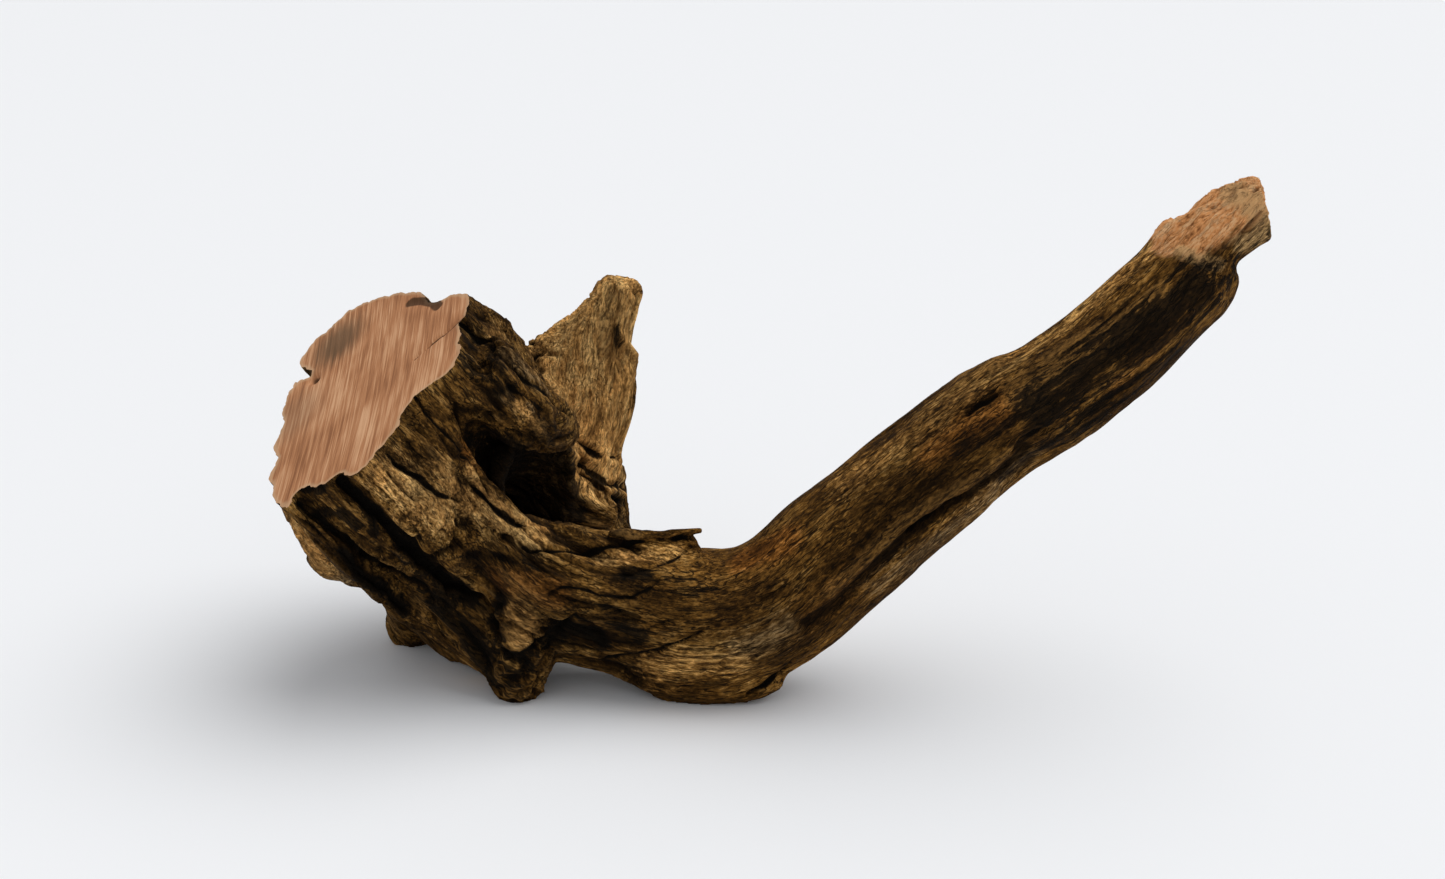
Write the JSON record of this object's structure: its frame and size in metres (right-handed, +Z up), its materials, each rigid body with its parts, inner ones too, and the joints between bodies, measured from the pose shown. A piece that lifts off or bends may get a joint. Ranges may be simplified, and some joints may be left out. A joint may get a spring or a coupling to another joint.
{
  "type": "piece of driftwood",
  "caption": "Weathered driftwood root: sawn stump, rotted hollow in the crown, long rising arm with a broken tip, short spur and stubby feet.",
  "frame": {"origin": "on the ground under the middle of the bounding box", "axes": "+X along the length towards the arm's tip, +Z up, and -Y towards the side that the picture shows"},
  "size_m": [0.2982, 0.1018, 0.1591],
  "materials": {
    "weathered_wood": "matte, weathered"
  },
  "bodies": {
    "root": {"driftwood": "weathered_wood"}
  },
  "joints": []
}
